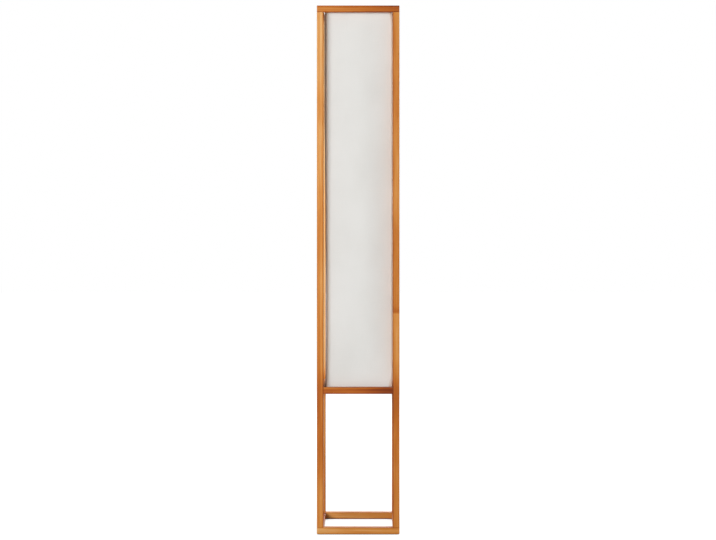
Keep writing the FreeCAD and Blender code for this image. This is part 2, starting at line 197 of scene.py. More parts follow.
# How far the held cloth stands out past its wires at the left, by height, and at the right
left_bow = (
    (0.444, -3.2 * MM), (0.68, -4.0 * MM), (0.95, -2.4 * MM),
    (1.15, -0.2 * MM), (1.30, 1.2 * MM), (1.59, 1.4 * MM),
)
right_bow = 2.2 * MM
right_corner_tightening = 8 * MM

# How the front falls back towards its right end: where that starts, its curve's radius, and its
# share by height
fall_start = 15 * MM
fall_radius = 256 * MM
fall_by_height = (
    (0.444, 0.25), (0.55, 0.7), (0.75, 1.0), (1.05, 1.0), (1.25, 0.9), (1.45, 0.5), (1.59, 0.2),
)

# Where the cloth starts to leave a wire, how much further on it is free, and its slight waves there
hold_start = 6 * MM
hold_reach = 20 * MM
wave_size = 90 * MM
wave_depth = 0.25 * MM

# Screws and threads, in metres or in shares: a screw's pitch of its diameter, its plain shank of its
# length, its root of its radius, its crest of its pitch and its recess of its head's radius. The
# recess's floor is a share of its mouth.
rail_screw = 4 * MM
rail_head = 8 * MM
small_screw = 3 * MM
small_head = 6 * MM
screw_pitch_share = 0.45
plain_shank = 0.30
screw_root = 0.35
screw_crest = 0.45
recess_reach = 0.55
recess_half_width = 0.12
recess_depth = 0.42
recess_floor = 0.55
pipe_wall = 1 * MM
pipe_pitch = 1 * MM
pipe_thread_depth = 0.54 * MM
lower_thread = 25 * MM
upper_thread = 12 * MM
cap_pitch = 3.62 * MM
cap_thread_depth = 0.7 * MM
cap_taper = 2.5 * MM
cap_wall = 0.4 * MM
cap_rim_plain = 5.6 * MM
cap_shoulder_plain = 0.5 * MM
shell_wall = 0.45 * MM
shell_well = 8.5 * MM
shell_plain = 3.2 * MM

# Sides round a turned piece, rows in each pitch of a thread, and the degrees at which an edge is sharp
screw_sides = 20
pipe_sides = 36
cap_sides = 60
cut_rows = 6
rolled_rows = 12
sharp_angle = 35


# Shader nodes


def fill(tree, socket, value):
    if isinstance(value, bpy.types.NodeSocket):
        tree.links.new(value, socket)
    else:
        socket.default_value = value


def add(tree, kind, inputs=None, **settings):
    """Adds a shader node with its settings, and fills its inputs by name or number."""
    made = tree.nodes.new("ShaderNode" + kind)
    for name, value in settings.items():
        setattr(made, name, value)
    for name, value in (inputs or {}).items():
        fill(tree, made.inputs[name], value)
    return made


def calc(tree, operation, *values):
    """A Math node's result."""
    made = add(tree, "Math", operation=operation)
    for socket, value in zip(made.inputs, values):
        fill(tree, socket, value)
    return made.outputs[0]


def vector(tree, operation, *values):
    """A Vector Math node's result."""
    made = add(tree, "VectorMath", operation=operation)
    for socket, value in zip(made.inputs, values):
        fill(tree, socket, value)
    return made.outputs["Value" if operation == "LENGTH" else "Vector"]


def step(tree, value, start, end, low=0.0, high=1.0):
    """A smooth step from low to high as the value goes from start to end."""
    inputs = {"Value": value, "From Min": start, "From Max": end, "To Min": low, "To Max": high}
    return add(tree, "MapRange", inputs, interpolation_type="SMOOTHSTEP").outputs["Result"]


def noise(tree, place, size, detail=2.0, roughness=0.5):
    """Noise from 0 to 1 about 0.5, with its own size along each axis."""
    shrunk = vector(tree, "DIVIDE", place, size)
    inputs = {"Vector": shrunk, "Scale": 1.0, "Detail": detail, "Roughness": roughness}
    return add(tree, "TexNoise", inputs).outputs[0]


def ramp(tree, value, stops):
    """A colour ramp. A stop is a share with a colour, or with one number for a grey."""
    made = add(tree, "ValToRGB", {"Fac": value})
    elements = made.color_ramp.elements
    while len(elements) < len(stops):
        elements.new(0.5)
    for element, (share, colour) in zip(elements, stops):
        element.position = share
        rgb = colour if isinstance(colour, tuple) else (colour, colour, colour)
        element.color = (*rgb, 1.0)
    return made.outputs["Color"]


def mix(tree, share, first, second):
    """Mixes two colours by a share. The node has other sockets for numbers and vectors, not used here."""
    share_socket, first_socket, second_socket, result_socket = 0, 6, 7, 2
    made = add(tree, "Mix", {share_socket: share, first_socket: first, second_socket: second},
               data_type="RGBA")
    return made.outputs[result_socket]


def bump(tree, height, depth):
    """A bump whose height of 1 stands for a depth in metres."""
    return add(tree, "Bump", {"Height": height, "Distance": depth}).outputs[0]


def parts_of(tree, value):
    """A vector's x, y and z."""
    return add(tree, "SeparateXYZ", {"Vector": value}).outputs


def place_of(tree):
    """The point on the piece, in metres in the lamp's frame. It moves with the piece."""
    return add(tree, "TexCoord").outputs["Object"]


def facing_of(tree, axis):
    """How squarely the piece faces along an axis of the lamp, either way, 0 to 1."""
    normal = add(tree, "TexCoord").outputs["Normal"]
    return calc(tree, "ABSOLUTE", parts_of(tree, normal)[axis])


def share_along(tree, place, low, high, axis):
    """How far a point is from a piece's low end to its high end on an axis, 0 to 1."""
    return calc(tree, "DIVIDE", calc(tree, "SUBTRACT", place[axis], low[axis]), high[axis] - low[axis])


def new_material(name):
    """A material with one Principled shader, its tree and that shader."""
    material = bpy.data.materials.new(name)
    material.use_nodes = True
    tree = material.node_tree
    return material, tree, tree.nodes["Principled BSDF"]


def set_inputs(tree, shader, values):
    for name, value in values.items():
        fill(tree, shader.inputs[name], value)


# Wood


def late_wood(tree, place, own, pith):
    """The dark line at the end of each year's ring, 0 to 1."""
    drift = calc(tree, "SUBTRACT", noise(tree, own, sway_size, detail=1.0), 0.5)
    aside = add(tree, "CombineXYZ", {
        "X": calc(tree, "MULTIPLY", drift, sway[0]),
        "Y": calc(tree, "MULTIPLY", drift, sway[1]),
    }).outputs[0]
    swayed = vector(tree, "ADD", place, aside)
    from_pith = vector(tree, "MULTIPLY", vector(tree, "SUBTRACT", swayed, pith), (1, 1, 0))
    radius = vector(tree, "LENGTH", from_pith)
    inputs = {"W": calc(tree, "DIVIDE", radius, ring_group), "Scale": 1.0, "Detail": 1.0}
    uneven = add(tree, "TexNoise", inputs, noise_dimensions="1D").outputs[0]
    rings = calc(tree, "MULTIPLY_ADD", uneven, ring_unevenness, calc(tree, "DIVIDE", radius, ring_width))
    share = calc(tree, "FRACT", rings)
    darkening = calc(tree, "POWER", share, late_sharpness)
    ending = step(tree, share, late_end, 1.0, 1.0, 0.0)
    return calc(tree, "MULTIPLY", darkening, ending)


def wood_group():
    """Straight-grained stained softwood. Place is across, across and along the batten, in metres."""
    tree = bpy.data.node_groups.new("stained_softwood", "ShaderNodeTree")
    for name, kind in (("Place", "Vector"), ("Pith", "Vector"), ("Tone", "Float")):
        tree.interface.new_socket(name, in_out="INPUT", socket_type="NodeSocket" + kind)
    for name, kind in (("Color", "Color"), ("Roughness", "Float"), ("Height", "Float")):
        tree.interface.new_socket(name, in_out="OUTPUT", socket_type="NodeSocket" + kind)
    given = tree.nodes.new("NodeGroupInput").outputs
    spread = vector(tree, "MULTIPLY", given["Pith"], (batten_spread,) * 3)
    own = vector(tree, "ADD", given["Place"], spread)

    late = late_wood(tree, given["Place"], own, given["Pith"])
    fibre = noise(tree, own, fibre_size, detail=3.0, roughness=0.6)
    streak = noise(tree, own, streak_size, roughness=0.55)
    cloud = noise(tree, own, cloud_size, detail=1.0)
    pores = step(tree, noise(tree, own, pore_size, detail=1.0), pore_start, pore_full)

    tone = given["Tone"]
    for value, middle, weight in (
        (late, late_middle, late_weight),
        (fibre, 0.5, fibre_weight),
        (streak, 0.5, streak_weight),
        (cloud, 0.5, cloud_weight),
        (pores, 0.0, pore_weight),
    ):
        change = calc(tree, "MULTIPLY", calc(tree, "SUBTRACT", value, middle), weight)
        tone = calc(tree, "ADD", tone, change)
    rough = calc(tree, "MULTIPLY_ADD", late, late_roughness, wood_roughness)
    rough = calc(tree, "MULTIPLY_ADD", fibre, fibre_roughness, rough)
    relief = calc(tree, "MULTIPLY_ADD", fibre, fibre_relief, calc(tree, "MULTIPLY", pores, pore_relief))
    relief = calc(tree, "MULTIPLY_ADD", late, late_relief, relief)
    out = tree.nodes.new("NodeGroupOutput")
    set_inputs(tree, out, {"Color": ramp(tree, tone, stain_stops), "Roughness": rough, "Height": relief})
    return tree


def inward(name, centre):
    """Which way along each axis a batten looks into the lamp's openings."""
    ways = [-1 if part > 0 else 1 for part in centre]
    if name.startswith("top_"):
        ways[2] = -1
    elif name.startswith("bottom_"):
        ways[2] = 1
    elif name.startswith("middle_"):
        ways[2] = 0
    return ways


def stain_and_light_tone(tree, name, place, axis, draw):
    """How dark the stain took at a point on a batten, with painted light on the back posts, before its
    edges and its grain.
    """
    low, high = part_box(name)
    stops = tone_stops.get(name)
    if not stops:
        stops = ((0.0, draw.uniform(*unseen_tones)), (1.0, draw.uniform(*unseen_tones)))
    tone = ramp(tree, share_along(tree, place, low, high, axis), stops)
    # Grain streaks, and on the rails a painted highlight and painted shade in bands up their height
    if name in streak_and_light_stops:
        side, streak_and_light_bands = streak_and_light_stops[name]
        streak = ramp(tree, share_along(tree, place, low, high, side), streak_and_light_bands)
        tone = calc(tree, "ADD", tone, calc(tree, "SUBTRACT", streak, 0.5))
    return tone


def edge_stain_and_shade(tree, offsets, halves, ways):
    """Darkening along a batten's edges, partly stain gathered there and partly painted shade, most along
    those that look into the lamp's openings.
    """
    insets = []
    places = []
    for offset, half, way in zip(offsets, halves, ways):
        insets.append(calc(tree, "SUBTRACT", half, calc(tree, "ABSOLUTE", offset)))
        places.append(calc(tree, "MULTIPLY", offset, way / half))
    from_edge = calc(tree, "MAXIMUM", *insets)
    place = calc(tree, "ADD", *places)
    near = step(tree, from_edge, edge_stain_and_shade_full, edge_stain_and_shade_width, 1.0, 0.0)
    # Stain with painted shade: darkest on the edges that look into the openings
    stain = step(tree, place, outer_edge_place, inner_edge_place, outer_edge_stain_and_shade, inner_edge_shade_and_stain)
    return calc(tree, "MULTIPLY", near, stain)


def batten_material(name, axis):
    """A batten's own piece of wood, with its grain along an axis of the lamp, 0 to 2. A post's pith
    lies to its left or right, and a rail's above or below it."""
    low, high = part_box(name)
    centre = (low + high) / 2
    half = (high - low) / 2
    sides = [k for k in range(3) if k != axis]
    draw = random.Random(name)
    side = draw.choice((-1, 1))
    pith = Vector((side * draw.uniform(*pith_distance), draw.uniform(-pith_offset, pith_offset), 0))
    pith.z = draw.uniform(-1, 1)
    if axis != 2:
        pith.x, pith.y = pith.y, pith.x

    material, tree, shader = new_material(name + "_wood")
    place = parts_of(tree, place_of(tree))
    offsets = [calc(tree, "SUBTRACT", place[k], centre[k]) for k in sides]
    own = add(tree, "CombineXYZ", {"X": offsets[0], "Y": offsets[1], "Z": place[axis]}).outputs[0]
    ways = inward(name, centre)
    tone = stain_and_light_tone(tree, name, place, axis, draw)
    edges = edge_stain_and_shade(tree, offsets, [half[k] for k in sides], [ways[k] for k in sides])
    ends = step(tree, facing_of(tree, axis), *end_facing, 0.0, end_stain)
    tone = calc(tree, "ADD", calc(tree, "ADD", tone, edges), ends)

    wood = add(tree, "Group", node_tree=bpy.data.node_groups["stained_softwood"])
    set_inputs(tree, wood, {"Place": own, "Pith": pith, "Tone": tone})
    set_inputs(tree, shader, {
        "Base Color": wood.outputs["Color"],
        "Roughness": wood.outputs["Roughness"],
        "Specular IOR Level": 0.12,
        "Coat Weight": 0.10,
        "Coat Roughness": 0.25,
        "Normal": bump(tree, wood.outputs["Height"], grain_relief),
    })
    return material


def plain_wood():
    """Unfinished beech of the dowels, which run in any direction."""
    fleck_size = (1.1 * MM,) * 3
    fleck_relief = 0.08 * MM
    beech = ((0.3, (0.60, 0.40, 0.22)), (0.7, (0.72, 0.53, 0.32)))
    material, tree, shader = new_material("dowel_beech")
    flecks = noise(tree, place_of(tree), fleck_size, detail=3.0)
    set_inputs(tree, shader, {
        "Base Color": ramp(tree, flecks, beech),
        "Roughness": 0.6,
        "Normal": bump(tree, flecks, fleck_relief),
    })
    return material


def plywood():
    """Stained plywood: a veneer on both faces, and the plies at its edges."""
    ply_count = 5.0
    figure_size = (62 * MM, 11 * MM, 11 * MM)
    figure_weight = 0.6
    veneer_fibre_size = (17 * MM, 0.55 * MM, 0.55 * MM)
    veneer_fibre_weight = 0.4
    veneer_roughness = 0.4
    veneer_fibre_roughness = 0.2
    face_facing, edge_facing = 0.8, 0.4
    veneer = ((0.30, (0.33, 0.105, 0.026)), (0.50, (0.50, 0.20, 0.06)), (0.70, (0.62, 0.30, 0.10)))
    plies = ((0.30, (0.25, 0.09, 0.03)), (0.55, (0.55, 0.27, 0.10)))
    low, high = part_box("base_board")
    material, tree, shader = new_material("stained_plywood")
    place = place_of(tree)
    figure = noise(tree, place, figure_size, detail=3.0, roughness=0.6)
    fibre = noise(tree, place, veneer_fibre_size)
    layers = calc(tree, "MULTIPLY", share_along(tree, parts_of(tree, place), low, high, 2), ply_count)
    ply = calc(tree, "PINGPONG", layers, 1.0)
    grain = calc(tree, "MULTIPLY", figure, figure_weight)
    grain = calc(tree, "MULTIPLY_ADD", fibre, veneer_fibre_weight, grain)
    on_edge = step(tree, facing_of(tree, 2), face_facing, edge_facing)
    set_inputs(tree, shader, {
        "Base Color": mix(tree, on_edge, ramp(tree, grain, veneer), ramp(tree, ply, plies)),
        "Roughness": calc(tree, "MULTIPLY_ADD", fibre, veneer_fibre_roughness, veneer_roughness),
        "Specular IOR Level": 0.3,
        "Normal": bump(tree, calc(tree, "ADD", fibre, ply), grain_relief),
    })
    return material


# Metals, plastics, glass, felt and cloth


def clouded(tree, place, colour, size, left):
    """A colour with clouds of a size, in which only a share of it is left."""
    cloud = step(tree, noise(tree, place, (size,) * 3), cloud_start, cloud_full)
    darker = tuple(part * left for part in colour)
    return mix(tree, cloud, (*colour, 1.0), (*darker, 1.0))


def metal(name, colour, roughness, grain):
    """Bright metal with fine handling marks. Grain is the size of the marks in metres."""
    material, tree, shader = new_material(name)
    place = place_of(tree)
    marks = noise(tree, place, (grain,) * 3, detail=3.0, roughness=0.6)
    set_inputs(tree, shader, {
        "Base Color": clouded(tree, place, colour, *metal_cloud),
        "Metallic": 1.0,
        "Roughness": calc(tree, "MULTIPLY_ADD", marks, mark_roughness, roughness),
        "Normal": bump(tree, marks, mark_depth),
    })
    return material


def moulded(name, colour, roughness, grain, depth, coat=0.0):
    """Enamel, moulded plastic or unglazed ceramic, with a fine skin of a size and depth in metres."""
    material, tree, shader = new_material(name)
    place = place_of(tree)
    skin = noise(tree, place, (grain,) * 3, detail=3.0, roughness=0.6)
    set_inputs(tree, shader, {
        "Base Color": clouded(tree, place, colour, *moulded_cloud),
        "Roughness": calc(tree, "MULTIPLY_ADD", skin, skin_roughness, roughness),
        "Coat Weight": coat,
        "Coat Roughness": 0.12,
        "Normal": bump(tree, skin, depth),
    })
    return material


def opal_glass():
    """White glass that lets some light through."""
    cloud_spacing = (17 * MM,) * 3
    opal = ((0.3, (0.84, 0.83, 0.80)), (0.7, (0.89, 0.88, 0.86)))
    glass_roughness = 0.14
    cloud_roughness = 0.08
    material, tree, shader = new_material("opal_glass")
    cloud = noise(tree, place_of(tree), cloud_spacing)
    set_inputs(tree, shader, {
        "Base Color": ramp(tree, cloud, opal),
        "Roughness": calc(tree, "MULTIPLY_ADD", cloud, cloud_roughness, glass_roughness),
        "Subsurface Weight": 0.25,
        "Subsurface Scale": 4 * MM,
        "Coat Weight": 0.4,
        "Coat Roughness": 0.08,
    })
    return material


def felt():
    """Pressed brown felt."""
    tuft_size = (0.4 * MM, 0.4 * MM, 1.1 * MM)
    tuft_relief = 0.3 * MM
    brown = ((0.3, (0.16, 0.09, 0.05)), (0.7, (0.33, 0.21, 0.13)))
    material, tree, shader = new_material("brown_felt")
    tufts = noise(tree, place_of(tree), tuft_size, detail=4.0, roughness=0.7)
    set_inputs(tree, shader, {
        "Base Color": ramp(tree, tufts, brown),
        "Roughness": 0.95,
        "Specular IOR Level": 0.1,
        "Sheen Weight": 0.3,
        "Normal": bump(tree, tufts, tuft_relief),
    })
    return material


def weave(tree, cloth, around, up):
    """The height of a plain weave, 0 to 1, whose threads are thicker in some places."""
    warp_wave = calc(tree, "SINE", calc(tree, "MULTIPLY", around, math.pi / thread_pitch))
    weft_wave = calc(tree, "SINE", calc(tree, "MULTIPLY", up, math.pi / thread_pitch))
    over = step(tree, calc(tree, "MULTIPLY", warp_wave, weft_wave), -thread_crossing, thread_crossing)
    under = calc(tree, "SUBTRACT", 1.0, over)
    warp_slub = noise(tree, cloth, (slub_width, warp_slub_length, 1.0))
    weft_slub = noise(tree, cloth, (weft_slub_length, slub_width, 1.0))
    warp = calc(tree, "MULTIPLY", calc(tree, "ABSOLUTE", warp_wave), warp_slub)
    weft = calc(tree, "MULTIPLY", calc(tree, "ABSOLUTE", weft_wave), weft_slub)
    return calc(tree, "MULTIPLY_ADD", warp, over, calc(tree, "MULTIPLY", weft, under))


def shade_cloth():
    """Plain-woven off-white cloth on a stiff backing, with painted warm shade where it bends round a
    corner, standing in for light bounced off the wood and the shade beside the posts. It lets a share of
    the light through."""
    off_white = ((0.15, (0.765, 0.755, 0.725)), (0.60, (0.865, 0.860, 0.840)))
    painted_warm_shade = (1.0, 0.91, 0.82)
    weave_share = 0.5
    see_through = 0.12
    material, tree, shader = new_material("shade_cloth")
    around = add(tree, "Attribute", attribute_name="around").outputs["Fac"]
    up = add(tree, "Attribute", attribute_name="up").outputs["Fac"]
    cloth = add(tree, "CombineXYZ", {"X": around, "Y": up}).outputs[0]
    height = weave(tree, cloth, around, up)
    cloud = noise(tree, cloth, cloth_cloud_size)
    shade = calc(tree, "MULTIPLY", cloud, 1 - weave_share)
    shade = calc(tree, "MULTIPLY_ADD", height, weave_share, shade)
    plain_cloth = ramp(tree, shade, off_white)
    bend = add(tree, "Attribute", attribute_name="bend").outputs["Fac"]
    # Painted warm shade on the cloth's corners, standing in for the wood's bounce and the posts' shade
    colour = mix(tree, bend, plain_cloth, vector(tree, "MULTIPLY", plain_cloth, painted_warm_shade))
    set_inputs(tree, shader, {
        "Base Color": colour,
        "Roughness": 0.85,
        "Specular IOR Level": 0.15,
        "Sheen Weight": 0.05,
        "Normal": bump(tree, height, weave_relief),
    })
    through = add(tree, "BsdfTranslucent", {"Color": colour})
    both = add(tree, "MixShader", {0: see_through, 1: shader.outputs[0], 2: through.outputs[0]})
    fill(tree, tree.nodes["Material Output"].inputs["Surface"], both.outputs[0])
    return material


# Meshes


def new_piece(name, bm, body, material, replaced):
    """Turns a bmesh into a piece that rides on a body and stands for a CAD node."""
    mesh = bpy.data.meshes.new(name)
    bmesh.ops.recalc_face_normals(bm, faces=bm.faces)
    bm.to_mesh(mesh)
    bm.free()
    mesh.shade_smooth()
    mesh.set_sharp_from_angle(angle=math.radians(sharp_angle))
    mesh.materials.append(material)
    piece = bpy.data.objects.new(name, mesh)
    bpy.context.scene.collection.objects.link(piece)
    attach(piece, body)
    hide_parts(replaced)
    return piece


def between(stops, value):
    """The value read off stops of (place, value), with a soft step from one stop to the next."""
    for (first, low), (last, high) in zip(stops, stops[1:]):
        if value <= last:
            share = max(0.0, (value - first) / (last - first))
            return low + (high - low) * share * share * (3 - 2 * share)
    return stops[-1][1]


def arc(centre, radius, first, last, steps):
    """Points on an arc in a plane, from one angle to another in degrees."""
    points = []
    for k in range(steps + 1):
        angle = math.radians(first + (last - first) * k / steps)
        points.append(Vector(centre) + radius * Vector((math.cos(angle), math.sin(angle))))
    return points


def normal_at(points, k):
    """The direction square to a path in a plane, on its right, at one of its points."""
    tangent = (points[min(k + 1, len(points) - 1)] - points[max(k - 1, 0)]).normalized()
    return Vector((tangent.y, -tangent.x))


def run_lengths(points):
    """How far along a path each of its points is."""
    gone = [0.0]
    for before, after in zip(points, points[1:]):
        gone.append(gone[-1] + (after - before).length)
    return gone


def stitch(bm, first, second):
    """Joins two rows of as many points with faces."""
    for k in range(len(first) - 1):
        bm.faces.new((first[k], first[k + 1], second[k + 1], second[k]))


# Shade


def hem_line():
    """The hem's middle line from its tucked end over the wire, as insets from the sheet's face and
    heights above the wire's middle."""
    middle_inset = sheet_thickness / 2
    tuck_inset = middle_inset + sheet_thickness + hem_room
    wire_inset = sheet_thickness + hem_room + wire_radius
    over = wire_inset - middle_inset
    lean = math.radians(hem_lean)
    meet_inset = wire_inset + over * math.cos(lean)
    bend_inset = tuck_inset + hem_bend * (1 - math.cos(lean))
    run = (meet_inset - bend_inset) / math.sin(lean)
    foot = -over * math.sin(lean) - run * math.cos(lean) - hem_bend * math.sin(lean)
    turned = [Vector((tuck_inset, foot - hem_turned))]
    bend = arc((tuck_inset + hem_bend, foot), hem_bend, 180, 180 - hem_lean, hem_bend_steps)
    return turned + bend + arc((wire_inset, 0), over, -hem_lean, 180, hem_wire_steps)


def sheet_line(low, high):
    """The whole sheet's middle line from hem to hem, between the heights of the two wires."""
    hem = hem_line()
    row_height = (high - low) / sheet_rows
    upper = [Vector((inset, high + height)) for inset, height in hem]
    wall = [Vector((sheet_thickness / 2, high - k * row_height)) for k in range(1, sheet_rows)]
    lower = [Vector((inset, low - height)) for inset, height in reversed(hem)]
    return upper + wall + lower


def sheet_outline(half, height, held):
    """The sheet's face at a height, round from its inner end at the back."""
    left = -half.x - held * between(left_bow, height)
    right = half.x + held * right_bow
    corners = (
        (left, half.y, shade_corner, 90),
        (left, -half.y, shade_corner, 180),
        (right, -half.y, shade_corner - held * right_corner_tightening, 270),
        (right, half.y, shade_corner, 0),
    )
    places = []
    at = Vector((seam_lap / 2, half.y))
    for x, y, radius, first in corners:
        middle = (x - math.copysign(radius, x), y - math.copysign(radius, y))
        bend = arc(middle, radius, first, first + 90, corner_steps)
        places += [at.lerp(bend[0], k / side_steps) for k in range(side_steps)] + bend[:-1]
        at = bend[-1]
    lap_foot = Vector((seam_lap / 2 + lap_slope, half.y))
    lap_end = Vector((-seam_lap / 2, half.y))
    places += [at.lerp(lap_foot, k / side_steps) for k in range(side_steps)]
    return places + [lap_foot.lerp(lap_end, k / lap_steps) for k in range(lap_steps + 1)]


def sheet_plan(half, height, held):
    """The sheet's face at a height: each point's place, its way out and its lift at the lap."""
    places = sheet_outline(half, height, held)
    fall = held * between(fall_by_height, height)
    for place in places:
        if place.y < 0 and place.x > fall_start:
            behind = min(1.0, -place.y / half.y)
            place.y += fall * behind * (place.x - fall_start) ** 2 / (2 * fall_radius)
    first_lapped = len(places) - lap_steps - 1
    lap_foot = places[first_lapped]
    rise = ((0.0, 0.0), (lap_slope, sheet_thickness + hem_room))
    plan = []
    for k, place in enumerate(places):
        lift = between(rise, lap_foot.x - place.x) if k >= first_lapped else 0.0
        plan.append((place, normal_at(places, k), lift))
    return plan


def ring_height(name):
    """The height of a wire ring's middle line."""
    low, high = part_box(name)
    return (low.z + high.z) / 2


def make_shade_sheet(material):
    """One sheet wrapped round both wires, hemmed over them and lapped at the middle of the back. Its
    points keep how far they are round and up the cloth, and how much the cloth bends there."""
    low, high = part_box("shade_sheet")
    half = Vector((high.x, -low.y))
    bottom = ring_height("shade_bottom_ring")
    top = ring_height("shade_top_ring")
    line = sheet_line(bottom, top)
    climbed = run_lengths(line)
    flat_plan = sheet_plan(half, top, 0.0)
    along = run_lengths([place for place, outward, lift in flat_plan])
    # How much the cloth bends at each point; the cloth's material paints warm shade there
    bends = [2 * abs(outward.x * outward.y) for place, outward, lift in flat_plan]
    bm = bmesh.new()
    around = bm.verts.layers.float.new("around")
    up = bm.verts.layers.float.new("up")
    bend = bm.verts.layers.float.new("bend")
    outer, inner = [], []
    for row, (inset, height) in enumerate(line):
        normal = normal_at(line, row)
        from_hem = min(top - height, height - bottom) - hold_start
        held = between(((0.0, 0.0), (hold_reach, 1.0)), from_hem)
        plan = sheet_plan(half, height, held)
        for face, side in ((outer, 0.5), (inner, -0.5)):
            verts = []
            for gone, bent, (place, outward, lift) in zip(along, bends, plan):
                wave = noise_at(Vector((place.x, place.y, height)) / wave_size) * wave_depth * held
                shift = normal * (lift + side * sheet_thickness)
                spot = place + outward * (wave - inset - shift.x)
                vert = bm.verts.new((spot.x, spot.y, height + shift.y))
                vert[around] = gone
                vert[up] = climbed[row]
                vert[bend] = bent
                verts.append(vert)
            face.append(verts)
    for face in (outer, inner):
        for row, after in zip(face, face[1:]):
            stitch(bm, row, after)
    for end in (0, -1):
        stitch(bm, outer[end], inner[end])
        stitch(bm, [row[end] for row in outer], [row[end] for row in inner])
    piece = new_piece("shade_cloth_sheet", bm, "shade", material, "shade_sheet")


# Turned and threaded pieces


def turn(bm, section, sides, cut, closed=False):
    """Turns a section of (radius, height) points about Z, and back to its start if it is closed.
    cut says how deep to go at an angle, height and radius."""
    rings = []
    for radius, height in section:
        if radius == 0:
            rings.append([bm.verts.new((0, 0, height))] * sides)
            continue
        ring = []
        for k in range(sides):
            angle = TURN * k / sides
            reach = radius - cut(angle, height, radius)
            ring.append(bm.verts.new((reach * math.cos(angle), reach * math.sin(angle), height)))
        rings.append(ring)
    if closed:
        rings.append(rings[0])
    for lower, upper in zip(rings, rings[1:]):
        for k in range(sides):
            after = (k + 1) % sides
            # A pointed end has one corner less, because two of them are the same point
            corners = dict.fromkeys((lower[k], lower[after], upper[after], upper[k]))
            bm.faces.new(list(corners))
    return rings


def fade(first, last, pitch, height):
    """0 outside a thread's ends, rising to 1 a pitch in from them."""
    return min(1.0, max(0.0, min(height - first, last - height) / pitch))


def thread(first, last, pitch, depth, crest):
    """The depth of a cut thread. crest is the share of the pitch that its ridge takes."""
    def cut(angle, height, radius):
        share = (height / pitch - angle / TURN) % 1.0
        ridge = max(0.0, 1 - abs(share - 0.5) * 2 / crest)
        return depth * fade(first, last, pitch, height) * (1 - ridge)
    return cut


def rolled_thread(first, last, pitch, depth):
    """The same for the round thread rolled into sheet metal."""
    def cut(angle, height, radius):
        wave = 0.5 - 0.5 * math.cos(TURN * height / pitch - angle)
        return depth * fade(first, last, pitch, height) * wave
    return cut


def heights(first, last, spacing):
    """Evenly spaced heights from first to last, both included."""
    count = max(1, round((last - first) / spacing))
    return [first + (last - first) * k / count for k in range(count + 1)]


def cross_recess(bm, rim, radius):
    """Closes a screw's head inside its rim with a cross-shaped recess that narrows to its floor."""
    arms = 4
    rings = []
    for share, height in ((1.0, 0.0), (recess_floor, radius * recess_depth)):
        arm = radius * recess_reach * share
        half = radius * recess_half_width * (1 + share) / 2
        ring = []
        for k in range(arms):
            turned = Matrix.Rotation(TURN * k / arms, 2)
            for corner in ((arm, -half), (arm, half), (half, half)):
                x, y = turned @ Vector(corner)
                ring.append(bm.verts.new((x, y, height)))
        rings.append(ring)
    upper, lower = rings
    stitch(bm, upper + upper[:1], lower + lower[:1])
    bm.faces.new(lower)
    edges = []
    for ring in (rim, upper):
        for pair in zip(ring, ring[1:] + ring[:1]):
            edges.append(bm.edges.get(pair) or bm.edges.new(pair))
    bmesh.ops.triangle_fill(bm, use_beauty=True, use_dissolve=False, edges=edges)


def wood_screw(bm, start, direction, diameter, head, length):
    """A countersunk wood screw with its head's face at the start."""
    first_vert = len(bm.verts)
    rim, shank = head / 2, diameter / 2
    pitch = diameter * screw_pitch_share
    neck = rim - shank
    tip = length - diameter
    rows = heights(neck + plain_shank * length, tip, pitch / cut_rows)
    section = [(rim, 0.0), (shank, neck)] + [(shank, height) for height in rows] + [(0, length)]
    cut = thread(rows[0], tip + pitch, pitch, shank * screw_root, screw_crest)
    rings = turn(bm, section, screw_sides, cut)
    cross_recess(bm, rings[0], rim)
    bm.verts.ensure_lookup_table()
    turned = Vector((0, 0, 1)).rotation_difference(Vector(direction)).to_matrix().to_4x4()
    bmesh.ops.transform(bm, matrix=Matrix.Translation(start) @ turned, verts=bm.verts[first_vert:])


def make_upright_screws(name, node, diameter, head, material):
    """Four screws driven straight up at the corners of their node."""
    low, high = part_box(node)
    bm = bmesh.new()
    for x in (-1, 1):
        for y in (-1, 1):
            start = Vector((x * (high.x - head / 2), y * (high.y - head / 2), low.z))
            wood_screw(bm, start, (0, 0, 1), diameter, head, high.z - low.z)
    new_piece(name, bm, "frame", material, node)


def make_cleat_screws(material):
    """Two screws driven outward through each cleat."""
    low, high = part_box("cleat_screws")
    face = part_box("right_cleat")[0].x
    bm = bmesh.new()
    for x in (-1, 1):
        for y in (-1, 1):
            start = Vector((x * face, y * (high.y - small_head / 2), (low.z + high.z) / 2))
            wood_screw(bm, start, (x, 0, 0), small_screw, small_head, high.x - face)
    new_piece("cleat_wood_screws", bm, "frame", material, "cleat_screws")


def make_lamp_pipe(material):
    """The threaded lamp pipe, with its thread cut at both ends."""
    low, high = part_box("lamp_pipe")
    outer = high.x
    bore = outer - pipe_wall
    lower_end = low.z + lower_thread
    upper_end = high.z - upper_thread
    lower = thread(low.z - pipe_pitch, lower_end, pipe_pitch, pipe_thread_depth, 1.0)
    upper = thread(upper_end, high.z + pipe_pitch, pipe_pitch, pipe_thread_depth, 1.0)

    def cut(angle, height, radius):
        if radius == bore:
            return 0.0
        return lower(angle, height, radius) + upper(angle, height, radius)

    spacing = pipe_pitch / cut_rows
    rows = heights(low.z, lower_end, spacing) + heights(upper_end, high.z, spacing)
    section = [(bore, low.z)] + [(outer, height) for height in rows] + [(bore, high.z)]
    bm = bmesh.new()
    turn(bm, section, pipe_sides, cut, closed=True)
    new_piece("threaded_lamp_pipe", bm, "frame", material, "lamp_pipe")


